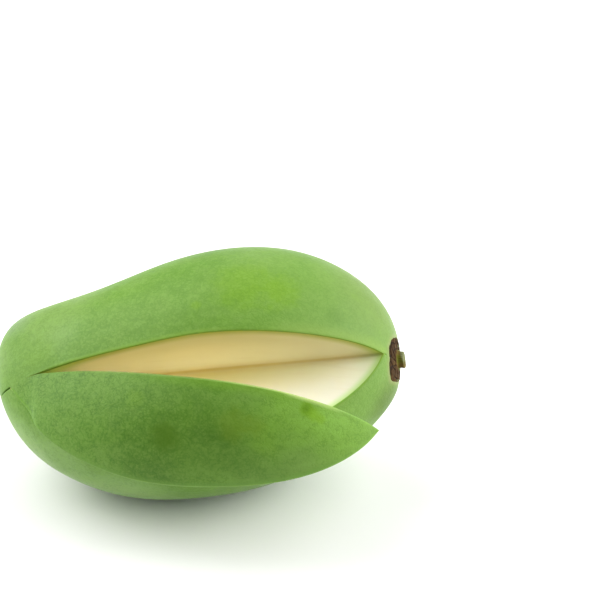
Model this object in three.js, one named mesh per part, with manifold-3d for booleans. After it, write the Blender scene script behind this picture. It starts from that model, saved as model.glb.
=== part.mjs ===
// A green mango that lies on its cheek, with a wedge-shaped slice cut from the side and slid outwards.
// Millimetres, +Z up. The stem end points to +X and the cut side to -Y. The origin is on the surface that
// the fruit lies on, under the middle of the whole.
//
// The fruit is described in its own frame first: x runs along the core from the tip to the stem, v goes across
// the wide way of the fruit and n out through the cheek that is cut.

import * as THREE from 'three';
import { mergeVertices } from 'three/addons/utils/BufferGeometryUtils.js';
import Module from 'manifold-3d';

// Form of the uncut fruit
const LENGTH = 142;
const HALF_WIDTH = 45.2;
const FULLER_STEM_END = 2.8;
const BLUNT_ENDS = 2.5;
const FULLER_TIP = 1.2;
const SHOULDERS = 1.5;
const THICKNESS_TO_WIDTH = 0.92;
const CORE_SLANT = 8;
const CORE_BOW = 2.5;
const CORE_HOOK = 2.75;
const CORE_RIPPLE = 0.9;
const SQUARENESS = 0.012;

// How it lies: leaned over about its core, with the middle of the core standing at this point. It rests on a
// small flat spot, where the surface takes off the lowest 1.35 mm of the skin.
const LEAN_DEG = 40;
const CORE_MIDDLE = { x: -1.45, y: 7.4, z: 42.5 };

// The two knife cuts meet in a straight crease inside the fruit. Their slopes are measured from n towards v.
const CREASE_TIP_END = { x: -62.2, v: -16.1, n: 16.9 };
const CREASE_STEM_END = { x: 66.5, v: 7.2, n: 15.6 };
const UPPER_CUT_SLOPE_DEG = 13.7;
const LOWER_CUT_SLOPE_DEG = -69.1;
const CUT_REACH = 90;
const CUT_OVERRUN = 40;

// The slice has swung out in the plane of the lower cut, about its end near the tip
const SLICE_SWING_DEG = 14.3;
const SLICE_SLIDE = 1;
const CUT_GAP = 0.3;

// Scar and stub of the stalk, on the core line at the stem end
const SCAR_RADIUS = 8;
const SCAR_THICKNESS = 1.2;
const SCAR_SUNK = 0.5;
const SCAR_EDGE_DROP = 0.6;
const STUB_RADIUS = 3.3;
const STUB_LENGTH = 2.6;
const STUB_WAIST = 2.8;
const STUB_TILT_DEG = 8;
const SEAT_GAP = 0.3;

// Facets
const STATIONS = 38;
const SIDES = 48;
const SCAR_SIDES = 28;

const SKIN_GREEN = 0x7fb04f;
const CORK_BROWN = 0x6b4a36;

const wasm = await Module();
wasm.setup();

// Axes of the fruit's own frame as they lie in the finished part
const lean = THREE.MathUtils.degToRad(LEAN_DEG);
const alongCore = new THREE.Vector3(1, 0, 0);
const acrossWide = new THREE.Vector3(0, Math.cos(lean), Math.sin(lean));
const outOfCheek = new THREE.Vector3(0, -Math.sin(lean), Math.cos(lean));

function fromFruitFrame(x, v, n) {
  return new THREE.Vector3()
    .addScaledVector(alongCore, x)
    .addScaledVector(acrossWide, v)
    .addScaledVector(outOfCheek, n);
}

// Half the width of the section at u, which runs from 0 at the tip to PI at the stem
function sectionHalfWidth(u) {
  const swell =
    HALF_WIDTH -
    FULLER_STEM_END * Math.cos(u) +
    BLUNT_ENDS * Math.cos(2 * u) +
    FULLER_TIP * Math.cos(3 * u) +
    SHOULDERS * Math.cos(4 * u);
  return Math.sin(u) * swell;
}

// Where the core line stands across the wide way: it slants, bows and hooks at the tip
function coreOffset(u) {
  return (
    -CORE_SLANT * Math.cos(u) +
    CORE_BOW * Math.cos(2 * u) +
    CORE_HOOK * Math.cos(3 * u) +
    CORE_RIPPLE * Math.cos(4 * u)
  );
}

function skinPoint(u, turn) {
  const halfWidth = sectionHalfWidth(u);
  const fullness = 1 - SQUARENESS * Math.cos(4 * turn);
  return fromFruitFrame(
    (-LENGTH / 2) * Math.cos(u),
    coreOffset(u) + halfWidth * Math.cos(turn) * fullness,
    THICKNESS_TO_WIDTH * halfWidth * Math.sin(turn) * fullness,
  );
}

// Closed skin of the uncut fruit: rings of points between one point at each end
function wholeFruitGeometry() {
  const points = [skinPoint(0, 0)];
  for (let i = 1; i < STATIONS; i += 1) {
    for (let j = 0; j < SIDES; j += 1) {
      points.push(skinPoint((Math.PI * i) / STATIONS, (2 * Math.PI * j) / SIDES));
    }
  }
  points.push(skinPoint(Math.PI, 0));
  const stemPoint = points.length - 1;
  const ring = (i, j) => 1 + (i - 1) * SIDES + (j % SIDES);
  const faces = [];
  for (let j = 0; j < SIDES; j += 1) {
    faces.push(0, ring(1, j + 1), ring(1, j));
    faces.push(stemPoint, ring(STATIONS - 1, j), ring(STATIONS - 1, j + 1));
    for (let i = 1; i < STATIONS - 1; i += 1) {
      faces.push(ring(i, j), ring(i + 1, j + 1), ring(i + 1, j));
      faces.push(ring(i, j), ring(i, j + 1), ring(i + 1, j + 1));
    }
  }
  const geometry = new THREE.BufferGeometry().setFromPoints(points);
  geometry.setIndex(faces);
  return geometry;
}

function toSolid(geometry) {
  const bare = geometry.clone();
  bare.deleteAttribute('normal');
  bare.deleteAttribute('uv');
  const merged = mergeVertices(bare, 1e-5);
  const vertProperties = new Float32Array(merged.attributes.position.array);
  const triVerts = new Uint32Array(merged.index.array);
  return new wasm.Manifold(new wasm.Mesh({ numProp: 3, vertProperties, triVerts }));
}

function toGeometry(solid) {
  const mesh = solid.getMesh();
  const geometry = new THREE.BufferGeometry();
  geometry.setAttribute('position', new THREE.BufferAttribute(new Float32Array(mesh.vertProperties), 3));
  geometry.setIndex(new THREE.BufferAttribute(new Uint32Array(mesh.triVerts), 1));
  return geometry;
}

// The crease and the two cut planes, as directions in the finished part
const creaseStart = fromFruitFrame(CREASE_TIP_END.x, CREASE_TIP_END.v, CREASE_TIP_END.n);
const creaseEnd = fromFruitFrame(CREASE_STEM_END.x, CREASE_STEM_END.v, CREASE_STEM_END.n);
const creaseDirection = creaseEnd.clone().sub(creaseStart).normalize();
const creaseAcross = acrossWide
  .clone()
  .addScaledVector(creaseDirection, -acrossWide.dot(creaseDirection))
  .normalize();
const creaseOut = creaseDirection.clone().cross(creaseAcross);

function cutDirection(slopeDeg) {
  const slope = THREE.MathUtils.degToRad(slopeDeg);
  return creaseOut.clone().multiplyScalar(Math.cos(slope)).addScaledVector(creaseAcross, Math.sin(slope));
}

const upperCut = cutDirection(UPPER_CUT_SLOPE_DEG);
const lowerCut = cutDirection(LOWER_CUT_SLOPE_DEG);
const belowLowerCut = creaseDirection.clone().cross(lowerCut);
const underUpperCut = creaseDirection.clone().cross(upperCut);

// Wedge between the two cuts: a triangular prism along the crease that reaches well past the skin
function wedgeGeometry() {
  const first = creaseStart.clone().addScaledVector(creaseDirection, -CUT_OVERRUN);
  const last = creaseEnd.clone().addScaledVector(creaseDirection, CUT_OVERRUN);
  const corners = [first, last].flatMap((end) => [
    end,
    end.clone().addScaledVector(upperCut, CUT_REACH),
    end.clone().addScaledVector(lowerCut, CUT_REACH),
  ]);
  const geometry = new THREE.BufferGeometry().setFromPoints(corners);
  geometry.setIndex([0, 2, 1, 3, 4, 5, 0, 4, 3, 0, 1, 4, 1, 5, 4, 1, 2, 5, 2, 3, 5, 2, 0, 3]);
  return geometry;
}

// Scar disc, hollowed a little towards its edge as the skin falls away there
function scarGeometry(radius, thickness, top) {
  const profile = [
    new THREE.Vector2(0, top - thickness),
    new THREE.Vector2(radius, top - thickness - SCAR_EDGE_DROP),
    new THREE.Vector2(radius, top - SCAR_EDGE_DROP),
    new THREE.Vector2(radius * 0.6, top - SCAR_EDGE_DROP * 0.25),
    new THREE.Vector2(0, top),
  ];
  return new THREE.LatheGeometry(profile, SCAR_SIDES);
}

// Stub of the stalk: a short knob with a waist and a domed, broken end
function stubGeometry() {
  const profile = [
    new THREE.Vector2(0, -SCAR_THICKNESS / 2),
    new THREE.Vector2(STUB_RADIUS, -SCAR_THICKNESS / 2),
    new THREE.Vector2(STUB_RADIUS, STUB_LENGTH * 0.12),
    new THREE.Vector2(STUB_WAIST, STUB_LENGTH * 0.4),
    new THREE.Vector2(STUB_RADIUS * 0.95, STUB_LENGTH * 0.75),
    new THREE.Vector2(STUB_RADIUS * 0.7, STUB_LENGTH),
    new THREE.Vector2(0, STUB_LENGTH),
  ];
  const geometry = new THREE.LatheGeometry(profile, SCAR_SIDES);
  geometry.rotateX(THREE.MathUtils.degToRad(STUB_TILT_DEG));
  return geometry;
}

// Turns a lathed piece from its own Y axis to the core line and stands it on the stem end
function toStemEnd(geometry) {
  const seat = fromFruitFrame(LENGTH / 2, coreOffset(Math.PI), 0);
  const turned = new THREE.Quaternion().setFromUnitVectors(new THREE.Vector3(0, 1, 0), alongCore);
  return geometry.clone().applyQuaternion(turned).translate(seat.x, seat.y, seat.z);
}

function meshOf(name, solid, color, roughness) {
  const material = new THREE.MeshStandardMaterial({ color, roughness, metalness: 0 });
  const mesh = new THREE.Mesh(toGeometry(solid), material);
  mesh.name = name;
  return mesh;
}

const whole = toSolid(wholeFruitGeometry());
const wedge = toSolid(wedgeGeometry());

// Body of the fruit: without the wedge, what would be under the surface, and the seat of the scar
const ground = new THREE.BoxGeometry(2 * LENGTH, 2 * LENGTH, LENGTH).translate(0, 0, -CORE_MIDDLE.z - LENGTH / 2);
const seatDepth = SCAR_THICKNESS + 2 * SEAT_GAP;
const scarSeat = scarGeometry(SCAR_RADIUS + SEAT_GAP, seatDepth, 0);
const seatMouth = scarGeometry(SCAR_RADIUS + SEAT_GAP, SCAR_THICKNESS, SCAR_THICKNESS);
const fruit = whole
  .subtract(wedge)
  .subtract(toSolid(ground))
  .subtract(toSolid(toStemEnd(scarSeat)))
  .subtract(toSolid(toStemEnd(seatMouth)));

const scar = toSolid(toStemEnd(scarGeometry(SCAR_RADIUS, SCAR_THICKNESS - SEAT_GAP, -SCAR_SUNK)));
const stub = toSolid(toStemEnd(stubGeometry()));

// The slice turns about the crease's end near the tip, and stays a gap clear of both cut faces
const slice = meshOf('slice', whole.intersect(wedge), SKIN_GREEN, 0.5);
slice.geometry.translate(-creaseStart.x, -creaseStart.y, -creaseStart.z);
slice.quaternion.setFromAxisAngle(belowLowerCut, THREE.MathUtils.degToRad(SLICE_SWING_DEG));
slice.position
  .copy(creaseStart)
  .addScaledVector(creaseDirection, SLICE_SLIDE)
  .addScaledVector(belowLowerCut, -CUT_GAP)
  .addScaledVector(underUpperCut, CUT_GAP);

const mango = new THREE.Group();
mango.position.set(CORE_MIDDLE.x, CORE_MIDDLE.y, CORE_MIDDLE.z);
mango.add(meshOf('fruit', fruit, SKIN_GREEN, 0.5));
mango.add(slice);
mango.add(meshOf('stalk_stub', scar.add(stub), CORK_BROWN, 0.9));

const group = new THREE.Group();
group.add(mango);

export default group;
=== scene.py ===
"""A green mango that lies on its cheek, with a wedge-shaped slice cut from its side and slid outwards.

Fruit and slice are one uncut form, parted by two knife cuts that meet in a straight crease inside it. Every
surface is worked out from that form: its skin as seen from the middle of the crease, and the flat cut faces
from the crease out to the skin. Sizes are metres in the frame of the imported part: +X to the stem end, -Y to
the side that is cut, +Z up.
"""

import logging
from dataclasses import dataclass, field
from enum import Enum

import bpy
import numpy as np
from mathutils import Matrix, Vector


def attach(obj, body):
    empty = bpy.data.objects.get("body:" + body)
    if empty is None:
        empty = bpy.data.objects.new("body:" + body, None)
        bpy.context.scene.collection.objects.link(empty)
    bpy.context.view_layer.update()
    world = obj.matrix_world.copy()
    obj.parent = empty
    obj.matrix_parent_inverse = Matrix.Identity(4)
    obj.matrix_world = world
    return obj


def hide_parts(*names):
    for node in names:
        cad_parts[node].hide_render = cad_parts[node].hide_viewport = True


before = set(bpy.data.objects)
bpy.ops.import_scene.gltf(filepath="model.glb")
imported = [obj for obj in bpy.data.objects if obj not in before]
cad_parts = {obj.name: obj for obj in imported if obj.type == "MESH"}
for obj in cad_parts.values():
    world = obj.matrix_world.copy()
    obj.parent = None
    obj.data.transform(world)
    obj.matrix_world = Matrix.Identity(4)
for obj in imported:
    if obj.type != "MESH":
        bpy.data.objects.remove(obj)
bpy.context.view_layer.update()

Array = np.ndarray
Triple = tuple[float, float, float]
Socket = bpy.types.NodeSocket
Input = Socket | float | tuple[float, ...]

MM = 0.001
LOG = logging.getLogger("mango")


def at_mm(x: float, y: float, z: float) -> Triple:
    """Returns a place given in millimetres, in metres."""
    return x * MM, y * MM, z * MM


def unit(vector: Array) -> Array:
    """Returns the vector scaled to length one."""
    return vector / np.linalg.norm(vector)


def smooth_step(value: Array, low: float, high: float) -> Array:
    """Eases from 0 at low to 1 at high: t * t * (3 - 2 * t), with t the clipped share of the way."""
    share = np.clip((value - low) / (high - low), 0.0, 1.0)
    return share * share * (3.0 - 2.0 * share)


@dataclass(frozen=True)
class FruitForm:
    """The uncut fruit: nearly round sections strung on a gently hooked core line.

    The fruit's own frame has x along the core from the tip to the stem, v across the wide way and n out of
    the cheek that is cut. u runs from 0 at the tip to pi at the stem, with x = -length / 2 * cos(u).
    """

    length: float = 142 * MM
    half_width: float = 44.7 * MM
    fuller_stem_end: float = 3.1 * MM
    blunt_ends: float = 1.7 * MM
    fuller_tip: float = 1.1 * MM
    shoulders: float = 1.1 * MM
    thickness_to_width: float = 0.92
    core_slant: float = 7.9 * MM
    core_bow: float = 2.5 * MM
    core_hook: float = 2.9 * MM
    core_ripple: float = 0.8 * MM
    squareness: float = 0.012
    stem_swell: float = 1.6 * MM
    stem_swell_at: tuple[float, float] = (-2.3 * MM, 2.3 * MM)
    stem_swell_reach: float = 9 * MM
    stem_swell_rise: tuple[float, float] = (30 * MM, 60 * MM)
    lean_deg: float = 40.0
    core_middle: Triple = at_mm(-1.45, 7.4, 42.5)
    lump_height: float = 0.11 * MM
    lump_waves: tuple[Triple, ...] = ((95, 60, -40), (-70, 120, 65), (150, -45, 110), (40, 170, -130))
    lump_shift: float = 1.7
    slope_step: float = 0.05 * MM
    halvings: int = 34

    def axes(self) -> Array:
        """Gives the fruit's own directions.

        Returns:
            Its x, v and n directions in the part's frame, one to a row.
        """
        lean = np.radians(self.lean_deg)
        return np.array(
            [[1.0, 0.0, 0.0], [0.0, np.cos(lean), np.sin(lean)], [0.0, -np.sin(lean), np.cos(lean)]]
        )

    def to_part(self, local: Array) -> Array:
        """Returns points of the fruit's own frame in the part's frame."""
        return np.asarray(local) @ self.axes() + np.array(self.core_middle)

    def to_fruit(self, points: Array) -> Array:
        """Returns points of the part's frame in the fruit's own frame."""
        return (points - np.array(self.core_middle)) @ self.axes().T

    def half_width_at(self, u: Array) -> Array:
        """Gives the mean half width of the sections.

        Args:
            u: Places along the core, from 0 at the tip to pi at the stem.

        Returns:
            sin(u) times the half width and its swells, which are cosines of u to 4 u.
        """
        swell = self.half_width - self.fuller_stem_end * np.cos(u) + self.blunt_ends * np.cos(2 * u)
        swell += self.fuller_tip * np.cos(3 * u) + self.shoulders * np.cos(4 * u)
        return np.sin(u) * swell

    def core_at(self, u: Array) -> Array:
        """Returns how far the core line stands across the wide way: a slant, a bow, a hook and a ripple."""
        line = -self.core_slant * np.cos(u) + self.core_bow * np.cos(2 * u)
        return line + self.core_hook * np.cos(3 * u) + self.core_ripple * np.cos(4 * u)

    def swell_at(self, local: Array) -> Array:
        """Finds how far the stem end is pushed out along the core.

        Args:
            local: Points in the fruit's own frame.

        Returns:
            The height of a round hump low on the near side: a bell curve of the distance from its middle.
        """
        wide, thick = local[..., 1] - self.stem_swell_at[0], local[..., 2] - self.stem_swell_at[1]
        hump = self.stem_swell * np.exp(-(wide**2 + thick**2) / self.stem_swell_reach**2)
        return hump * smooth_step(local[..., 0], *self.stem_swell_rise)

    def excess(self, points: Array) -> Array:
        """Measures how far points stand outside the skin, across the section that they lie in.

        Args:
            points: Points in the part's frame, with x, y and z along the last axis.

        Returns:
            Distance from the core line less the section's radius in that direction and less a few shallow
            lumps, which are sines along four slanted directions. It is negative inside the fruit.
        """
        local = self.to_fruit(points)
        local[..., 0] -= self.swell_at(local)
        u = np.arccos(np.clip(-2 * local[..., 0] / self.length, -1, 1))
        wide = local[..., 1] - self.core_at(u)
        thick = local[..., 2] / self.thickness_to_width
        turn = np.arctan2(thick, wide)
        radius = self.half_width_at(u) * (1 - self.squareness * np.cos(4 * turn))
        waves = enumerate(self.lump_waves)
        lumps = sum(np.sin(local @ np.array(wave) + self.lump_shift * i) for i, wave in waves)
        past_end = np.maximum(np.abs(local[..., 0]) - self.length / 2, 0.0)
        return np.hypot(wide, thick) - radius - self.lump_height * lumps * np.sin(u) + past_end

    def slope(self, points: Array) -> Array:
        """Measures how excess rises along x, y and z.

        Args:
            points: Points in the part's frame.

        Returns:
            The three slopes at each point, by central differences.
        """
        steps = self.slope_step * np.eye(3)
        rises = [self.excess(points + step) - self.excess(points - step) for step in steps]
        return np.stack(rises, axis=-1) / (2 * self.slope_step)

    def depth(self, points: Array) -> Array:
        """Returns how far points lie below the skin: minus excess over its steepness."""
        steepness = np.linalg.norm(self.slope(points), axis=-1)
        return np.maximum(-self.excess(points) / np.maximum(steepness, 1e-6), 0.0)

    def outward(self, points: Array) -> Array:
        """Returns the unit normals of the skin at each point."""
        slope = self.slope(points)
        return slope / np.maximum(np.linalg.norm(slope, axis=-1, keepdims=True), 1e-9)

    def reach(self, origins: Array, directions: Array, farthest: float = 0.1) -> Array:
        """Follows rays from inside the fruit to the skin, halving the step each time.

        Args:
            origins: Start points inside the fruit.
            directions: Unit directions of the same shape.
            farthest: A distance that is surely outside.

        Returns:
            The points where the rays meet the skin.
        """
        near = np.zeros(directions.shape[:-1])
        far = np.full_like(near, farthest)
        for _ in range(self.halvings):
            middle = (near + far) / 2
            inside = self.excess(origins + middle[..., None] * directions) < 0
            near = np.where(inside, middle, near)
            far = np.where(inside, far, middle)
        return origins + ((near + far) / 2)[..., None] * directions


@dataclass
class KnifeCuts:
    """Two flat cuts that meet in a straight crease. Their slopes are measured from n towards v.

    Polar angles run from 0 at the crease's tip end to pi at its stem end, as seen from its middle. Turns
    round the crease run from 0 on the lower cut up through the slice to the opening on the upper cut.
    """

    form: FruitForm
    crease_tip_end: Triple = at_mm(-61.7, -15.9, 17.3)
    crease_stem_end: Triple = at_mm(66.8, 7.55, 15.2)
    upper_slope_deg: float = 12.8
    lower_slope_deg: float = -70.3
    start: Array = field(init=False)
    end: Array = field(init=False)
    along: Array = field(init=False)
    upper: Array = field(init=False)
    lower: Array = field(init=False)
    under_upper: Array = field(init=False)
    above_lower: Array = field(init=False)

    def __post_init__(self) -> None:
        """Works out the crease and the two cut planes in the part's frame."""
        self.start = self.form.to_part(np.array(self.crease_tip_end))
        self.end = self.form.to_part(np.array(self.crease_stem_end))
        self.along = unit(self.end - self.start)
        wide = self.form.axes()[1]
        across = unit(wide - self.along * (wide @ self.along))
        out = np.cross(self.along, across)
        self.upper = self._direction(out, across, self.upper_slope_deg)
        self.lower = self._direction(out, across, self.lower_slope_deg)
        self.under_upper = np.cross(self.along, self.upper)
        self.above_lower = -np.cross(self.along, self.lower)

    @staticmethod
    def _direction(out: Array, across: Array, slope_deg: float) -> Array:
        """Returns the unit direction at a slope from out towards across."""
        slope = np.radians(slope_deg)
        return np.cos(slope) * out + np.sin(slope) * across

    @property
    def opening(self) -> float:
        """Angle between the lower cut and the upper cut, in radians."""
        return float(np.radians(self.upper_slope_deg - self.lower_slope_deg))

    @property
    def middle(self) -> Array:
        """Middle of the crease, from which the skin is seen."""
        return (self.start + self.end) / 2

    def rays(self, polar: Array, turn: Array) -> Array:
        """Returns unit directions: -cos(polar) along the crease and sin(polar) across it at each turn."""
        across = np.cos(turn)[..., None] * self.lower + np.sin(turn)[..., None] * self.above_lower
        return -np.cos(polar)[..., None] * self.along + np.sin(polar)[..., None] * across


@dataclass(frozen=True)
class SliceBend:
    """How the slice stands away: bent outwards near its tip end, in the plane of the lower cut."""

    swing_deg: float = 15.1
    relax_deg: float = 1.1
    relax_over: float = 65 * MM
    hinge_start: float = 4.8 * MM
    hinge_end: float = 15.2 * MM
    slide: float = 0.3 * MM
    gap: float = 0.04 * MM
    line_from: float = -30 * MM
    line_to: float = 160 * MM
    line_points: int = 1901

    def opened(self, along: Array) -> Array:
        """Returns 0 where the slice still lies in place, to 1 past the hinge."""
        return smooth_step(along, self.hinge_start, self.hinge_end)

    def move(self, points: Array, cuts: KnifeCuts) -> Array:
        """Bends the slice.

        Args:
            points: Points of the slice as it was cut.
            cuts: The two cuts, with the crease that the slice is bent along.

        Returns:
            Points carried by a line that starts along the crease and turns outwards through the hinge: each
            keeps its place along the line and its distance from it.
        """
        away = points - cuts.start
        place, out = away @ cuts.along, away @ cuts.lower
        steps = np.linspace(self.line_from, self.line_to, self.line_points)
        swing = self.swing_deg + self.relax_deg * (1 - np.clip(steps / self.relax_over, 0, 2))
        turn = np.radians(swing) * self.opened(steps)
        run = np.cumsum(np.cos(turn)) * (steps[1] - steps[0])
        rise = np.cumsum(np.sin(turn)) * (steps[1] - steps[0])
        run, rise = run - np.interp(0, steps, run), rise - np.interp(0, steps, rise)
        angle = np.interp(place, steps, turn)
        along = np.interp(place, steps, run) - out * np.sin(angle) + self.slide * self.opened(place)
        outward = np.interp(place, steps, rise) + out * np.cos(angle)
        lift = (away @ cuts.above_lower)[..., None] * cuts.above_lower
        bent = along[..., None] * cuts.along + outward[..., None] * cuts.lower + lift
        return cuts.start + bent + (cuts.above_lower + cuts.under_upper) * self.gap


@dataclass
class Rings:
    """A closed surface as closed rings of points between two poles.

    The rings array is rings by columns by 3, poles are the first and last point. Each named mark holds one
    value for every ring point, then one for each pole. Faces of the columns in inner_columns get slot 1.
    """

    rings: Array
    poles: Array
    marks: dict[str, Array] = field(default_factory=dict)
    inner_columns: Array | None = None

    def faces(self) -> tuple[Array, Array]:
        """Joins the points.

        Returns:
            The quads between neighbouring rings, and the triangles round both poles.
        """
        count, around = self.rings.shape[:2]
        index = np.arange(count * around).reshape(count, around)
        onward = np.roll(index, -1, axis=1)
        quads = np.stack([index[:-1], index[1:], onward[1:], onward[:-1]], axis=-1).reshape(-1, 4)
        first = np.full(around, count * around)
        caps = np.concatenate(
            [
                np.stack([first, index[0], onward[0]], axis=-1),
                np.stack([first + 1, onward[-1], index[-1]], axis=-1),
            ]
        )
        return quads, caps

    def slots(self) -> Array:
        """Sorts the faces by finish.

        Returns:
            The material slot of every quad, then of every triangle round a pole.
        """
        count, around = self.rings.shape[:2]
        column_slot = np.zeros(around, dtype=np.int32)
        if self.inner_columns is not None:
            column_slot[self.inner_columns] = 1
        return np.concatenate([np.tile(column_slot, count - 1), column_slot, column_slot])

    def build(self, name: str, materials: list[bpy.types.Material]) -> bpy.types.Object:
        """Makes the Blender object.

        Args:
            name: Name of the piece.
            materials: The finish of slot 0, and of slot 1 where some columns are inner ones.

        Returns:
            The linked object, smooth, with its faces pointing outwards and its marks as attributes.
        """
        points = np.concatenate([self.rings.reshape(-1, 3), self.poles])
        quads, caps = self.faces()
        corners = points[np.concatenate([quads[:, :3], quads[:, [0, 2, 3]], caps])]
        volume = np.einsum("ij,ij->i", corners[:, 0], np.cross(corners[:, 1], corners[:, 2])).sum()
        if volume < 0:
            quads, caps = quads[:, ::-1], caps[:, ::-1]
        mesh = bpy.data.meshes.new(name)
        mesh.from_pydata(points, [], quads.tolist() + caps.tolist())
        for mark, values in self.marks.items():
            attribute = mesh.attributes.new(mark, "FLOAT", "POINT")
            attribute.data.foreach_set("value", values.astype(np.float32))
        mesh.polygons.foreach_set("use_smooth", np.ones(len(mesh.polygons), dtype=bool))
        mesh.polygons.foreach_set("material_index", self.slots())
        for material in materials:
            mesh.materials.append(material)
        mesh.update()
        piece = bpy.data.objects.new(name, mesh)
        bpy.context.collection.objects.link(piece)
        return piece


class ShaderGraph:
    """Adds nodes to one material and joins them."""

    def __init__(self, name: str) -> None:
        """Starts a material with one Principled shader.

        Args:
            name: Name of the material.
        """
        self.material = bpy.data.materials.new(name)
        self.material.use_nodes = True
        self.tree = self.material.node_tree
        self.shader = self.tree.nodes["Principled BSDF"]
        self._place = self.tree.nodes.new("ShaderNodeTexCoord").outputs["Object"]

    def _put(self, socket: Socket, value: Input) -> None:
        """Links a socket to another, or sets its value.

        Args:
            socket: The socket to feed.
            value: Another node's output, a number or a colour.
        """
        if isinstance(value, Socket):
            self.tree.links.new(value, socket)
        else:
            socket.default_value = value

    def set(self, **values: Input) -> None:
        """Puts values or links on the shader's sockets, named with underscores for spaces."""
        for name, value in values.items():
            self._put(self.shader.inputs[name.replace("_", " ")], value)

    def mark(self, name: str) -> Socket:
        """Reads one of the mesh's marks.

        Args:
            name: Name of the point attribute.

        Returns:
            Its value.
        """
        node = self.tree.nodes.new("ShaderNodeAttribute")
        node.attribute_name = name
        return node.outputs["Fac"]

    def place(self, stretch: Triple) -> Socket:
        """Stretches the object coordinates.

        Args:
            stretch: Scale of the pattern along each axis.

        Returns:
            A vector socket.
        """
        node = self.tree.nodes.new("ShaderNodeMapping")
        node.inputs["Scale"].default_value = stretch
        self.tree.links.new(self._place, node.inputs["Vector"])
        return node.outputs["Vector"]

    def axis(self, name: str) -> Socket:
        """Reads one of the object coordinates.

        Args:
            name: X, Y or Z.

        Returns:
            Its value in metres.
        """
        node = self.tree.nodes.new("ShaderNodeSeparateXYZ")
        self.tree.links.new(self._place, node.inputs["Vector"])
        return node.outputs[name]

    def noise(self, scale: float, detail: float, rough: float, at: Socket | None = None) -> Socket:
        """Makes a soft noise.

        Args:
            scale: Waves to the metre.
            detail: How many finer noises are added to it.
            rough: How strong the finer ones are.
            at: Place to read instead of the object coordinates.

        Returns:
            The noise, from 0 to 1.
        """
        node = self.tree.nodes.new("ShaderNodeTexNoise")
        node.inputs["Scale"].default_value = scale
        node.inputs["Detail"].default_value = detail
        node.inputs["Roughness"].default_value = rough
        self.tree.links.new(at or self._place, node.inputs["Vector"])
        return node.outputs["Fac"]

    def far_from(self, centre: Triple) -> Socket:
        """Measures how far the surface is from a place.

        Args:
            centre: The place, in object coordinates.

        Returns:
            The distance.
        """
        node = self.tree.nodes.new("ShaderNodeVectorMath")
        node.operation = "DISTANCE"
        self.tree.links.new(self._place, node.inputs[0])
        node.inputs[1].default_value = centre
        return node.outputs["Value"]

    def math(self, operation: str, *values: Input) -> Socket:
        """Adds one Math node.

        Args:
            operation: What the node does.
            values: What it does it with.

        Returns:
            The result.
        """
        node = self.tree.nodes.new("ShaderNodeMath")
        node.operation = operation
        for socket, value in zip(node.inputs, values):
            self._put(socket, value)
        return node.outputs["Value"]

    def ease(self, value: Socket, low: float, high: float, start: float = 0.0, stop: float = 1.0) -> Socket:
        """Eases from one number to another.

        Args:
            value: The value that is followed.
            low: The value up to which the result is start.
            high: The value from which the result is stop.
            start: The result at the low end.
            stop: The result at the high end.

        Returns:
            start + (stop - start) * t * t * (3 - 2 * t), with t the clipped share of the way.
        """
        node = self.tree.nodes.new("ShaderNodeMapRange")
        node.interpolation_type = "SMOOTHSTEP"
        for socket, number in zip(("From Min", "From Max", "To Min", "To Max"), (low, high, start, stop)):
            node.inputs[socket].default_value = number
        self.tree.links.new(value, node.inputs["Value"])
        return node.outputs["Result"]

    def blend(self, share: Socket, first: Socket | Triple, second: Socket | Triple) -> Socket:
        """Mixes two colours.

        Args:
            share: From 0 to 1.
            first: The colour where the share is 0.
            second: The colour where the share is 1.

        Returns:
            The mixed colour.
        """
        node = self.tree.nodes.new("ShaderNodeMix")
        node.data_type = "RGBA"
        self.tree.links.new(share, node.inputs["Factor"])
        for socket, colour in ((node.inputs[6], first), (node.inputs[7], second)):
            self._put(socket, (*colour, 1.0) if isinstance(colour, tuple) else colour)
        return node.outputs[2]

    def bump(self, height: Socket, depth: float, strength: float, over: Socket | None = None) -> Socket:
        """Bends the normal by a height.

        Args:
            height: The height, from 0 to 1.
            depth: What a height of 1 stands for, in metres.
            strength: Share of the bump that is used.
            over: A normal to bend further.

        Returns:
            The bent normal.
        """
        node = self.tree.nodes.new("ShaderNodeBump")
        node.inputs["Distance"].default_value = depth
        node.inputs["Strength"].default_value = strength
        self.tree.links.new(height, node.inputs["Height"])
        if over is not None:
            self.tree.links.new(over, node.inputs["Normal"])
        return node.outputs["Normal"]


class BlotchKind(Enum):
    """Colours of the patches and marks on the skin.

    SHOULDER_SHEEN, BLOOM_AND_SHEEN and HAZE_AND_SHEEN stand for waxy bloom with painted sheen, and SHADED for
    painted shade.
    """

    YELLOWISH = (0.140, 0.285, 0.012)
    DEEP = (0.080, 0.182, 0.017)
    OLIVE = (0.058, 0.140, 0.002)
    TAWNY = (0.120, 0.215, 0.010)
    BRUISED = (0.170, 0.340, 0.008)
    SMEARED = (0.118, 0.262, 0.002)
    LIGHT = (0.172, 0.345, 0.037)
    PALE = (0.170, 0.290, 0.062)
    SHOULDER_SHEEN = (0.170, 0.268, 0.067)
    BLOOM_AND_SHEEN = (0.260, 0.410, 0.135)
    SHADED = (0.100, 0.165, 0.030)
    HAZE_AND_SHEEN = (0.198, 0.296, 0.150)
    DARK = (0.056, 0.134, 0.014)
    BRIGHT = (0.205, 0.400, 0.055)


@dataclass(frozen=True)
class Blotch:
    """A soft-edged patch of another green, round a point of the skin."""

    kind: BlotchKind
    centre: Triple
    radius: float
    strength: float
    raggedness: float


class Cut(Enum):
    """The two knife cuts."""

    UPPER = "upper"
    LOWER = "lower"


@dataclass(frozen=True)
class EdgeBand:
    """A soft band of another colour on the skin, along one knife edge.

    It is full up to the first of the two widths and gone at the second. Along the fruit it rises over the
    first two of the four stops, which are places along X in metres, and falls over the last two to the
    share that is kept.
    """

    cut: Cut
    colour: Triple
    widths: tuple[float, float]
    strength: float
    stops: tuple[float, float, float, float]
    kept: float = 0.0


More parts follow.
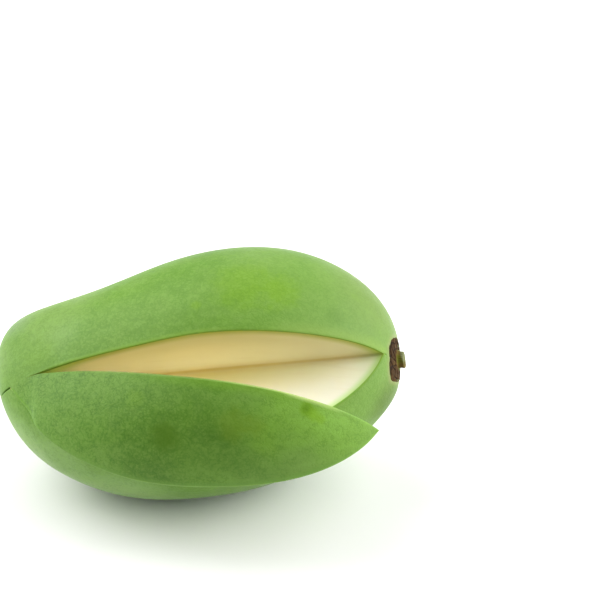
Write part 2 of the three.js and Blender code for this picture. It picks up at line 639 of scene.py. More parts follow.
@dataclass(frozen=True)
class SkinFinish:
    """Green skin with a fine squiggly grain, paler towards the stem end.

    Blotches lie under the grain and marks over it, and bands run along the knife edges. The waves say how
    many waves of each noise there are to the metre, and the depths how deep its relief is. What changes
    along the fruit does so between two places along X.
    """

    name: str
    green: Triple = (0.122, 0.252, 0.028)
    deep_green: Triple = (0.100, 0.226, 0.020)
    pale_green: Triple = (0.160, 0.285, 0.054)
    light_fleck: Triple = (0.205, 0.370, 0.066)
    dark_fleck: Triple = (0.050, 0.145, 0.006)
    # slit_shade_green is painted shade in the slit at the tip end.
    slit_shade_green: Triple = (0.060, 0.160, 0.008)
    stem_slit_green: Triple = (0.170, 0.370, 0.015)
    scar_halo: Triple = (0.270, 0.290, 0.110)
    stem_pale: float = 0.75
    grain: float = 0.28
    streaks: float = 0.0
    broad_waves: float = 26
    middling_waves: float = 150
    squiggle_waves: float = 560
    fine_waves: float = 1400
    coarse_waves: float = 270
    ragged_waves: float = 210
    relief_waves: float = 330
    streak_waves: Triple = (60.0, 330.0, 330.0)
    pales_along: tuple[float, float] = (-5 * MM, 75 * MM)
    calms_along: tuple[float, float] = (-40 * MM, 50 * MM)
    streaks_along: tuple[float, float] = (-10 * MM, 40 * MM)
    between_slits: tuple[float, float] = (-10 * MM, 10 * MM)
    grain_depth: float = 0.05 * MM
    relief_depth: float = 0.18 * MM
    blotches: tuple[Blotch, ...] = ()
    marks: tuple[Blotch, ...] = ()
    bands: tuple[EdgeBand, ...] = ()

    def material(self) -> bpy.types.Material:
        """Builds the finish.

        Returns:
            A material that reads object coordinates and the marks edge, upper, scar and slit.
        """
        graph = ShaderGraph(self.name)
        broad = graph.noise(self.broad_waves, 3.0, 0.55)
        middling = graph.noise(self.middling_waves, 4.0, 0.6)
        colour = graph.blend(graph.ease(broad, 0.35, 0.68), self.deep_green, self.green)
        towards_stem = graph.ease(graph.axis("X"), *self.pales_along, 0.0, self.stem_pale)
        colour = graph.blend(towards_stem, colour, self.pale_green)
        colour = graph.blend(graph.ease(middling, 0.4, 0.75, 0.0, 0.5), colour, self.pale_green)
        colour = self._blotched(graph, colour, self.blotches)
        colour, grain = self._grained(graph, colour)
        colour = self._blotched(graph, colour, self.marks)
        colour = self._banded(graph, colour)
        colour = graph.blend(graph.math("MULTIPLY", graph.mark("scar"), 0.6), colour, self.scar_halo)
        # The slit is darkened with painted shade at the tip end and peel green at the stem end.
        at_stem = graph.ease(graph.axis("X"), *self.between_slits)
        slit = graph.blend(at_stem, self.slit_shade_green, self.stem_slit_green)
        colour = graph.blend(graph.mark("slit"), colour, slit)
        normal = graph.bump(grain, self.grain_depth, 0.5)
        normal = graph.bump(graph.noise(self.relief_waves, 3.0, 0.55), self.relief_depth, 0.5, normal)
        graph.set(Base_Color=colour, Roughness=graph.ease(middling, 0.3, 0.7, 0.46, 0.58), Normal=normal)
        graph.set(Specular_IOR_Level=0.2, Sheen_Weight=0.1, Sheen_Roughness=0.25)
        graph.set(Subsurface_Weight=0.05, Subsurface_Scale=1.2 * MM, Subsurface_Radius=(0.6, 1.0, 0.25))
        return graph.material

    def _grained(self, graph: ShaderGraph, colour: Socket) -> tuple[Socket, Socket]:
        """Lays the fine grain over a colour, stronger towards the tip.

        Args:
            graph: The material's graph.
            colour: The colour so far.

        Returns:
            The colour, deeper along fine squiggles where a noise is near its middle and paler between them,
            varied by a finer and a coarser noise, with long faint streaks towards the stem end if there are
            any; and the squiggles.
        """
        along = graph.axis("X")
        off_middle = graph.math("SUBTRACT", graph.noise(self.squiggle_waves, 2.0, 0.6), 0.5)
        squiggle = graph.ease(graph.math("ABSOLUTE", off_middle), 0.0, 0.11)
        fine = graph.ease(graph.noise(self.fine_waves, 1.0, 0.5), 0.3, 0.7, -0.4, 0.4)
        coarse = graph.ease(graph.noise(self.coarse_waves, 2.0, 0.6), 0.3, 0.7, -1.25, -0.2)
        ripple = graph.math("MULTIPLY_ADD", squiggle, 1.4, graph.math("ADD", fine, coarse))
        strength = graph.ease(along, *self.calms_along, self.grain, 0.55 * self.grain)
        for share, fleck in (
            (graph.ease(ripple, -0.1, 1.4), self.light_fleck),
            (graph.ease(ripple, -1.4, 0.1, 1.0, 0.0), self.dark_fleck),
        ):
            colour = graph.blend(graph.math("MULTIPLY", share, strength), colour, fleck)
        if self.streaks:
            streak = graph.noise(1.0, 3.0, 0.6, graph.place(self.streak_waves))
            streak = graph.ease(streak, 0.35, 0.7, self.streaks, 0.0)
            share = graph.math("MULTIPLY", streak, graph.ease(along, *self.streaks_along))
            colour = graph.blend(share, colour, self.dark_fleck)
        return colour, squiggle

    def _banded(self, graph: ShaderGraph, colour: Socket) -> Socket:
        """Lays the bands along the knife edges over a colour.

        Args:
            graph: The material's graph.
            colour: The colour so far.

        Returns:
            The colour with every band: its share is its strength eased off with the distance from the edge,
            times 1 on its own cut's side, times its rise and its fall along the fruit.
        """
        edge, upper, along = graph.mark("edge"), graph.mark("upper"), graph.axis("X")
        for band in self.bands:
            share = graph.ease(edge, band.widths[0], band.widths[1], band.strength, 0.0)
            side = upper if band.cut is Cut.UPPER else graph.math("SUBTRACT", 1.0, upper)
            rise, fall = band.stops[:2], band.stops[2:]
            for factor in (side, graph.ease(along, *rise), graph.ease(along, *fall, 1.0, band.kept)):
                share = graph.math("MULTIPLY", share, factor)
            colour = graph.blend(share, colour, band.colour)
        return colour

    def _blotched(self, graph: ShaderGraph, colour: Socket, blotches: tuple[Blotch, ...]) -> Socket:
        """Lays patches over a colour.

        Args:
            graph: The material's graph.
            colour: The colour so far.
            blotches: The patches, from the lowest to the topmost.

        Returns:
            The colour with every patch eased off from a quarter of its radius, ragged by a noise.
        """
        if not blotches:
            return colour
        ragged = graph.math("SUBTRACT", graph.noise(self.ragged_waves, 4.0, 0.65), 0.5)
        for blotch in blotches:
            away = graph.far_from(blotch.centre)
            away = graph.math("ADD", away, graph.math("MULTIPLY", ragged, 2 * blotch.raggedness))
            share = graph.ease(away, 0.25 * blotch.radius, blotch.radius, blotch.strength, 0.0)
            colour = graph.blend(share, colour, blotch.kind.value)
        return colour


@dataclass(frozen=True)
class FaceTones:
    """Colours of one cut face: by the crease and out from it, at either end, and under the skin.

    Besides the flesh's colour, the tones carry painted light and shade: they are lighter by the crease,
    where the notch shades the faces, and lighter on the upper face towards the tip, under the slice's shadow;
    at the tip end of the lower face they are tan by the crease, as warm painted shade. The rim is painted
    shade, a darker tone on the outer millimetres of the face, as far as its share goes.
    """

    tip_near: Triple
    tip_far: Triple
    stem_near: Triple
    stem_far: Triple
    under_skin: Triple
    peel: Triple
    peel_depth: float
    green_depth: float
    rim: Triple = (0.585, 0.525, 0.225)
    rim_shade_share: float = 0.0


@dataclass(frozen=True)
class FleshFinish:
    """Firm flesh with fine fibres along the fruit, greener just under the skin, painted brown shade along the
    crease.

    What changes along the fruit does so between two places along X. The widths of the two crease lines say
    how far out they are full and where they are gone.
    """

    name: str
    lower: FaceTones = FaceTones(
        tip_near=(0.755, 0.685, 0.30),
        tip_far=(0.90, 0.87, 0.74),
        stem_near=(0.95, 0.94, 0.73),
        stem_far=(0.74, 0.73, 0.61),
        under_skin=(0.47, 0.67, 0.24),
        peel=(0.14, 0.32, 0.020),
        peel_depth=0.4 * MM,
        green_depth=3.2 * MM,
    )
    upper: FaceTones = FaceTones(
        tip_near=(0.92, 0.85, 0.58),
        tip_far=(0.79, 0.70, 0.385),
        stem_near=(0.66, 0.60, 0.34),
        stem_far=(0.52, 0.48, 0.235),
        under_skin=(0.35, 0.37, 0.045),
        # The upper face's peel line is darker and wider than the lower one's: peel colour with painted shade
        # of the gap under the upper edge.
        peel=(0.128, 0.250, 0.004),
        peel_depth=0.55 * MM,
        green_depth=4.4 * MM,
        rim_shade_share=0.9,
    )
    fibre_tan: Triple = (0.66, 0.53, 0.26)
    crease_shade: Triple = (0.68, 0.50, 0.12)
    # tip_green is the narrow tip's greener flesh, lightened as painted light in the deep end of the notch.
    tip_green: Triple = (0.60, 0.66, 0.23)
    tip_under: Triple = (0.50, 0.62, 0.08)
    corner_green: Triple = (0.22, 0.36, 0.03)
    fibre_waves: Triple = (38.0, 420.0, 420.0)
    cloud_waves: float = 55
    relief_waves: float = 900
    fibre_depth: float = 0.08 * MM
    relief_depth: float = 0.03 * MM
    tones_along: tuple[float, float] = (0 * MM, 75 * MM)
    corner_along: tuple[float, float] = (52 * MM, 67.5 * MM)
    crease_fades_along: tuple[float, float] = (10 * MM, 35 * MM)
    rim_shade_rises_along: tuple[float, float] = (-35 * MM, 12 * MM)
    rim_shade_falls_along: tuple[float, float] = (12 * MM, 38 * MM)
    green_thins_along: tuple[float, float] = (-60 * MM, -20 * MM)
    tip_under_along: tuple[float, float] = (-48 * MM, -22 * MM)
    tip_green_along: tuple[float, float] = (-48 * MM, -36 * MM)
    peel_rises_along: tuple[float, float] = (-54 * MM, -44 * MM)
    far_from_crease: tuple[float, float] = (2 * MM, 18 * MM)
    wide_line: tuple[float, float] = (0.2 * MM, 3.8 * MM)
    narrow_line: tuple[float, float] = (0.15 * MM, 1.1 * MM)
    rim_shade_depths: tuple[float, float] = (2 * MM, 12 * MM)

    def material(self) -> bpy.types.Material:
        """Builds the finish.

        Returns:
            A material that reads object coordinates and the marks depth, crease and upper.
        """
        graph = ShaderGraph(self.name)
        fibre = graph.noise(1.0, 4.0, 0.6, graph.place(self.fibre_waves))
        lower, upper = (self._face(graph, tones, fibre) for tones in (self.lower, self.upper))
        colour = graph.blend(graph.mark("upper"), lower, upper)
        colour = self._creased(graph, colour)
        normal = graph.bump(fibre, self.fibre_depth, 0.45)
        normal = graph.bump(graph.noise(self.relief_waves, 2.0, 0.5), self.relief_depth, 0.4, normal)
        graph.set(Base_Color=colour, Roughness=graph.ease(fibre, 0.3, 0.7, 0.42, 0.55), Normal=normal)
        graph.set(Specular_IOR_Level=0.35)
        graph.set(Subsurface_Weight=0.25, Subsurface_Scale=3.0 * MM, Subsurface_Radius=(1.0, 0.8, 0.4))
        return graph.material

    def _creased(self, graph: ShaderGraph, colour: Socket) -> Socket:
        """Paints shade on both faces towards the crease.

        Args:
            graph: The material's graph.
            colour: The colour so far.

        Returns:
            The colour, green in the corner at the stem end, with a wide and a narrow line of painted shade
            along the crease that are brown, turn green in the corner and fade a little on the way there.
        """
        crease, along = graph.mark("crease"), graph.axis("X")
        corner = graph.ease(along, *self.corner_along)
        colour = graph.blend(graph.math("MULTIPLY", corner, 0.45), colour, self.corner_green)
        # The crease lines are painted shade, brown and green in the corner.
        line = graph.blend(corner, self.crease_shade, self.corner_green)
        fading = graph.ease(along, *self.crease_fades_along, 1.0, 0.75)
        wide = graph.ease(crease, *self.wide_line, 0.5, 0.0)
        narrow = graph.ease(crease, *self.narrow_line, 0.6, 0.0)
        for share in (wide, narrow):
            colour = graph.blend(graph.math("MULTIPLY", share, fading), colour, line)
        return colour

    def _face(self, graph: ShaderGraph, tones: FaceTones, fibre: Socket) -> Socket:
        """Mixes the colour of one cut face.

        Args:
            graph: The material's graph.
            tones: The face's colours.
            fibre: The fibres' noise.

        Returns:
            The colour: tones for the place along the fruit and out from the crease, then cloudy tan and
            fibres, then the rim's painted shade, then green and peel by the depth under the skin.
        """
        along = graph.axis("X")
        to_stem = graph.ease(along, *self.tones_along)
        near = graph.blend(to_stem, tones.tip_near, tones.stem_near)
        far = graph.blend(to_stem, tones.tip_far, tones.stem_far)
        colour = graph.blend(graph.ease(graph.mark("crease"), *self.far_from_crease), near, far)
        cloud = graph.ease(graph.noise(self.cloud_waves, 3.0, 0.5), 0.4, 0.75, 0.0, 0.1)
        colour = graph.blend(cloud, colour, self.fibre_tan)
        colour = graph.blend(graph.ease(fibre, 0.52, 0.78, 0.0, 0.13), colour, self.fibre_tan)
        # Painted shade on the rim, strongest in the middle of the fruit.
        rim = graph.ease(graph.mark("depth"), *self.rim_shade_depths, tones.rim_shade_share, 0.0)
        rise = graph.ease(along, *self.rim_shade_rises_along, 0.1, 1.0)
        fall = graph.ease(along, *self.rim_shade_falls_along, 1.0, 0.25)
        rim = graph.math("MULTIPLY", graph.math("MULTIPLY", rim, rise), fall)
        return self._under_skin(graph, tones, graph.blend(rim, colour, tones.rim))

    def _under_skin(self, graph: ShaderGraph, tones: FaceTones, colour: Socket) -> Socket:
        """Lays the green under the skin and the peel's own line over the colour of one cut face.

        Args:
            graph: The material's graph.
            tones: The face's colours.
            colour: The colour so far.

        Returns:
            The colour, greener to the skin, greener all over in the narrow tip and lightened there as painted
            light, and peel green at the skin.
            The depth counts for less towards the tip, so that the green reaches deeper there.
        """
        along = graph.axis("X")
        thins = graph.ease(along, *self.green_thins_along, 0.6, 1.0)
        depth = graph.math("MULTIPLY", graph.mark("depth"), thins)
        green = graph.ease(depth, tones.peel_depth, tones.green_depth, 0.95, 0.0)
        at_tip = graph.ease(along, *self.tip_under_along, 0.7, 0.0)
        colour = graph.blend(green, colour, graph.blend(at_tip, tones.under_skin, self.tip_under))
        in_tip = graph.ease(along, *self.tip_green_along, 0.85, 0.0)
        colour = graph.blend(in_tip, colour, self.tip_green)
        peel = graph.ease(depth, tones.peel_depth, 1.8 * tones.peel_depth, 1.0, 0.0)
        peel = graph.math("MULTIPLY", peel, graph.ease(along, *self.peel_rises_along, 0.6, 1.0))
        return graph.blend(peel, colour, tones.peel)


@dataclass(frozen=True)
class CorkFinish:
    """Dry, cracked cork round the stub, and the greenish tan stub with its broken end.

    The end is paler, and a painted highlight pales the stub's upper side next to it.
    """

    name: str
    brown: Triple = (0.040, 0.020, 0.006)
    light_brown: Triple = (0.083, 0.045, 0.013)
    crack: Triple = (0.012, 0.006, 0.003)
    stub_green: Triple = (0.105, 0.108, 0.012)
    stub_tan: Triple = (0.125, 0.088, 0.020)
    stub_end_and_highlight: Triple = (0.165, 0.180, 0.080)
    fleck_waves: float = 900
    patch_waves: float = 260
    fleck_depth: float = 0.12 * MM

    def material(self) -> bpy.types.Material:
        """Builds the finish.

        Returns:
            A material that reads object coordinates and the marks height, crack and broken.
        """
        graph = ShaderGraph(self.name)
        flecks = graph.noise(self.fleck_waves, 5.0, 0.65)
        patches = graph.noise(self.patch_waves, 3.0, 0.6)
        colour = graph.blend(graph.ease(patches, 0.35, 0.7), self.brown, self.light_brown)
        colour = graph.blend(graph.ease(flecks, 0.55, 0.75, 0.0, 0.5), colour, self.light_brown)
        colour = graph.blend(graph.mark("crack"), colour, self.crack)
        stub = graph.blend(graph.ease(patches, 0.4, 0.65), self.stub_green, self.stub_tan)
        # The broken end is paler, and a painted highlight pales the upper side next to it.
        stub = graph.blend(graph.mark("broken"), stub, self.stub_end_and_highlight)
        colour = graph.blend(graph.mark("height"), colour, stub)
        normal = graph.bump(flecks, self.fleck_depth, 0.8)
        graph.set(Base_Color=colour, Roughness=graph.ease(flecks, 0.3, 0.7, 0.72, 0.92), Normal=normal)
        graph.set(Specular_IOR_Level=0.12)
        return graph.material


@dataclass
class MangoPart:
    """One part of the cut fruit: skin between two turns round the crease, closed by its two cut faces.

    Its columns of skin rise from one cut to the other. first_cut says which cut they start on.

    Each cut may bow a little off its plane: it is then turned about the crease by bow * sin(polar) ** 2,
    less skew * sin(polar) ** 2 * cos(polar).
    """

    form: FruitForm
    cuts: KnifeCuts
    bend: SliceBend
    name: str
    node: str
    skin: SkinFinish
    flesh: FleshFinish
    rows: int = 230
    face_columns: int = 28
    edge_steps_deg: tuple[float, ...] = (0.0, 0.15, 0.4, 0.8, 1.4, 2.2)
    edge_drop: float = 0.14 * MM
    edge_round: float = 0.28 * MM
    end_crowding: float = 0.72
    skin_crowding: float = 1.7
    shut_distance: float = 2 * MM
    shut_past: float = 1.5 * MM
    upper_bow_deg: float = 0.0
    upper_skew_deg: float = 0.0
    lower_bow_deg: float = 0.0
    lower_skew_deg: float = 0.0
    first_cut: Cut = Cut.LOWER

    def nominal_turns(self) -> Array:
        """Returns the turns round the crease at which the skin has a column of points."""
        raise NotImplementedError

    def finish_skin(self, points: Array) -> tuple[Array, dict[str, Array]]:
        """Returns the skin points after local shaping, and marks of that shaping."""
        return points, {}

    def settle(self, points: Array) -> Array:
        """Returns the points where they lie in the finished part."""
        return points

    def turns_between(self, first: float, last: float, step_deg: float) -> Array:
        """Spaces columns between two knife edges, closer next to the edges.

        Args:
            first: Turn of the first edge, in radians.
            last: Turn of the last edge.
            step_deg: Widest step between columns, in degrees.

        Returns:
            Rising turns from first to last.
        """
        near = np.radians(self.edge_steps_deg)
        low, high = first + near[-1], last - near[-1]
        count = int(np.ceil((high - low) / np.radians(step_deg)))
        return np.concatenate([first + near[:-1], np.linspace(low, high, count + 1), last - near[-2::-1]])

    def polar_rows(self) -> Array:
        """Returns polar angles of the rings, closer near both ends of the crease."""
        share = np.arange(1, self.rows) / self.rows
        return np.pi * (share - self.end_crowding * np.sin(2 * np.pi * share) / (2 * np.pi))

    def bows(self, polar: Array) -> tuple[Array, Array]:
        """Works out how far both cuts are turned off their planes.

        Args:
            polar: Polar angles of the rings.

        Returns:
            The turn of the lower cut and that of the upper cut at each polar angle, in radians.
        """
        arch, lean = np.sin(polar) ** 2, np.sin(polar) ** 2 * np.cos(polar)
        lower = self.lower_bow_deg * arch - self.lower_skew_deg * lean
        upper = self.upper_bow_deg * arch - self.upper_skew_deg * lean
        return np.radians(lower), np.radians(upper)

    def bowed_turns(self, polar: Array) -> Array:
        """Stretches the nominal turns between the bowed cuts.

        Args:
            polar: Polar angles of the rings.

        Returns:
            The turn of every skin point, rings by columns.
        """
        nominal = self.nominal_turns()
        lower, upper = self.bows(polar)
        first, last = (lower, upper) if self.first_cut is Cut.LOWER else (upper, lower)
        share = (nominal - nominal[0]) / (nominal[-1] - nominal[0])
        return nominal + first[:, None] * (1 - share) + last[:, None] * share

    def off_crease(self, points: Array) -> Array:
        """Returns the distances of points from the line of the crease."""
        return np.linalg.norm(np.cross(points - self.cuts.start, self.cuts.along), axis=-1)

    def edge_distance(self, skin: Array, turns: Array) -> Array:
        """Measures how far skin points are from the nearer knife edge.

        Args:
            skin: Skin points, rings by columns.
            turns: Their turns round the crease.

        Returns:
            Distance round the crease. Where the slice still lies in place, the upper edge doesn't count.
        """
        around = self.off_crease(skin)
        first, last = around * (turns - turns[:, :1]), around * (turns[:, -1:] - turns)
        along = (skin - self.cuts.start) @ self.cuts.along
        shut = self.shut_distance * (1 - self.bend.opened(along - self.shut_past))
        if self.first_cut is Cut.LOWER:
            return np.minimum(first, last + shut)
        return np.minimum(first + shut, last)

    def cut_face(self, edge: Array, base: Array) -> Array:
        """Returns columns from the skin's edge to the crease's base, 1 - s ** crowding of the way out."""
        share = 1 - (np.arange(1, self.face_columns) / self.face_columns) ** self.skin_crowding
        return base[:, None] + share[None, :, None] * (edge - base)[:, None]

    def rings(self) -> Rings:
        """Works out the whole closed surface.

        Returns:
            Rings of skin, last cut face, crease and first cut face, with the marks depth, crease, edge,
            upper (1 on the side of the upper cut, 0 on the lower one's) and those of the local shaping.
        """
        polar = self.polar_rows()
        turns = self.bowed_turns(polar)
        skin = self.form.reach(self.cuts.middle, self.cuts.rays(polar[:, None] + 0 * turns, turns))
        ends = self.form.reach(self.cuts.middle, np.stack([-self.cuts.along, self.cuts.along]))
        edge = self.edge_distance(skin, turns)
        rounded = self.edge_drop * np.exp(-((edge / self.edge_round) ** 2))
        skin = skin - self.form.outward(skin) * rounded[..., None]
        skin, local = self.finish_skin(skin)
        share = (1 - np.cos(polar)) / 2
        base = ends[0] + share[:, None] * (ends[1] - ends[0])
        first_face, last_face = self.cut_face(skin[:, 0], base), self.cut_face(skin[:, -1], base)
        faces = np.concatenate([last_face, base[:, None], first_face[:, ::-1]], axis=1)
        points = np.concatenate([skin, faces], axis=1)
        depth = np.concatenate([0 * edge, self.form.depth(faces)], axis=1)
        around = np.append(np.linspace(0, 1, edge.shape[1]), np.linspace(1, 0, faces.shape[1]))
        on_upper = smooth_step(around, 0.49, 0.51) + 0 * depth
        if self.first_cut is Cut.UPPER:
            on_upper = 1 - on_upper
        marks = {"depth": depth, "crease": self.off_crease(points), "upper": on_upper}
        marks = {mark: np.append(values, [0, 0]) for mark, values in marks.items()}
        for mark, values in {"edge": edge, **local}.items():
            spread = np.pad(values, ((0, 0), (0, faces.shape[1])))
            marks[mark] = np.append(spread, [spread[0, 0], spread[-1, 0]])
        inner = np.arange(turns.shape[1] - 1, points.shape[1])
        return Rings(self.settle(points), self.settle(ends), marks, inner)

    def build(self) -> bpy.types.Object:
        """Makes the piece and lets it stand for its node.

        Returns:
            The finished object.
        """
        piece = self.rings().build(self.name, [self.skin.material(), self.flesh.material()])
        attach(piece, "root")
        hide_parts(self.node)
        return piece


@dataclass(frozen=True)
class StalkSeat:
    """Where the corky scar and the stub stand on the stem end, off the core line towards the cut cheek."""

    scar_at: tuple[float, float] = (-0.13 * MM, 5.82 * MM)
    stub_at: tuple[float, float] = (1.1 * MM, 2.3 * MM)
    scar_radius: float = 7.85 * MM
    scar_oval: float = 0.5 * MM
    scar_square: float = 0.5 * MM
    square_turn_deg: float = 72.0
    rim_waver: float = 0.35 * MM

    def rim(self, turn: Array) -> Array:
        """Draws the scar's outline.

        Args:
            turn: Angles round the scar's middle.

        Returns:
            Its radius: an oval with four blunt corners, wavering by sines of 3, 5, 9 and 16 turns.
        """
        waver = 0.5 * np.sin(3 * turn + 0.6) + 0.3 * np.sin(5 * turn) + 0.3 * np.sin(9 * turn + 2.0)
        waver += 0.2 * np.sin(16 * turn + 1.0)
        corners = np.cos(4 * (turn + np.radians(self.square_turn_deg)))
        oval = self.scar_radius + self.scar_oval * np.cos(2 * turn)
        return oval - self.scar_square * corners + self.rim_waver * waver

    def off_scar(self, form: FruitForm, local: Array) -> Array:
        """Measures how far points are from the scar's rim.

        Args:
            form: The uncut fruit.
            local: Points in the fruit's own frame.

        Returns:
            Distance outside the rim across the core, negative inside it, and a metre on the tip's half.
        """
        wide = local[..., 1] - form.core_at(np.pi) - self.scar_at[0]
        thick = local[..., 2] - self.scar_at[1]
        away = np.hypot(wide, thick) - self.rim(np.arctan2(thick, wide))
        return np.where(local[..., 0] > 0, away, 1.0)


@dataclass
class FruitBody(MangoPart):
    """The fruit with the notch in its side, its flat spot, the seat of the scar and the knife's overcut."""

    seat: StalkSeat = field(default_factory=StalkSeat)
    first_cut: Cut = Cut.UPPER
    step_deg: float = 1.25
    seat_inset: float = 0.5 * MM
    seat_slope: float = 1.2 * MM
    seat_depth: float = 1.3 * MM
    halo: tuple[float, float] = (-0.3 * MM, 1.5 * MM)
    overcut_turn_deg: float = -10.0
    overcut_length: float = 9.0 * MM
    stem_overcut_length: float = 1.3 * MM
    overcut_depth: float = 0.9 * MM
    overcut_half_width: float = 0.22 * MM
    stem_overcut_share: float = 0.45
    overcut_clear_deg: float = 4.2
    overcut_columns_deg: tuple[float, ...] = (-3.6, -2.4, -1.5, -0.8, -0.35, 0.0, 0.35, 0.8, 1.5, 2.4, 3.6)

    def nominal_turns(self) -> Array:
        """Spaces the columns of the skin.

        Returns:
            Turns from the upper cut round the back to the lower cut, closer along the overcut.
        """
        turns = self.turns_between(self.cuts.opening, 2 * np.pi, self.step_deg)
        overcut = self.cuts.opening + np.pi + np.radians(self.overcut_turn_deg)
        fine = overcut + np.radians(self.overcut_columns_deg)
        kept = turns[np.abs(turns - overcut) > np.radians(self.overcut_clear_deg)]
        return np.sort(np.concatenate([kept, fine]))

    def finish_skin(self, points: Array) -> tuple[Array, dict[str, Array]]:
        """Shapes the scar's seat, the overcut and the flat spot.

        Args:
            points: Skin points, rings by columns.

        Returns:
            The points sunk along the core inside the scar's rim, pressed in along the overcut and held
            above the surface that the fruit lies on; and the marks slit and scar.
        """
        groove, slit = self._overcut(points)
        points = points - self.form.outward(points) * groove[..., None]
        local = self.form.to_fruit(points)
        off_scar = self.seat.off_scar(self.form, local)
        sunk = 1 - smooth_step(off_scar, -self.seat_inset - self.seat_slope, -self.seat_inset)
        local[..., 0] -= self.seat_depth * sunk
        points = self.form.to_part(local)
        points[..., 2] = np.maximum(points[..., 2], 0.0)
        return points, {"slit": slit, "scar": 1 - smooth_step(off_scar, *self.halo)}

    def _overcut(self, points: Array) -> tuple[Array, Array]:
        """Shapes the slits where the knife ran on past both ends of the crease.

        Args:
            points: Skin points, rings by columns.

        Returns:
            The slits' depth and their mark: a bell curve across the slit, times the root of what is left of
            its length. The slit at the tip end is turned a little about the crease, off the upper cut.
        """
        depth = np.zeros(points.shape[:-1])
        for at, length, turn_deg, share in (
            (self.cuts.start, self.overcut_length, self.overcut_turn_deg, 1.0),
            (self.cuts.end, self.stem_overcut_length, 0.0, self.stem_overcut_share),
        ):
            turn = np.array(self.cuts.opening + np.pi + np.radians(turn_deg))
            run = self.cuts.rays(np.array(np.pi / 2), turn)
            away = points - at
            left = np.clip(1 - np.linalg.norm(away, axis=-1) / length, 0.0, 1.0)
            beside = np.exp(-((away @ np.cross(self.cuts.along, run) / self.overcut_half_width) ** 2))
            depth = np.maximum(depth, np.where(away @ run > 0, share * np.sqrt(left) * beside, 0.0))
        return self.overcut_depth * depth, smooth_step(depth, 0.05, 0.45)


@dataclass
class LooseSlice(MangoPart):
    """The wedge that the two cuts set free, bent outwards on the lower cut."""

    step_deg: float = 0.85

    def nominal_turns(self) -> Array:
        """Returns the turns of the columns, from the lower cut to the upper cut."""
        return self.turns_between(0.0, self.cuts.opening, self.step_deg)

    def settle(self, points: Array) -> Array:
        """Returns the points after the bend."""
        return self.bend.move(points, self.cuts)


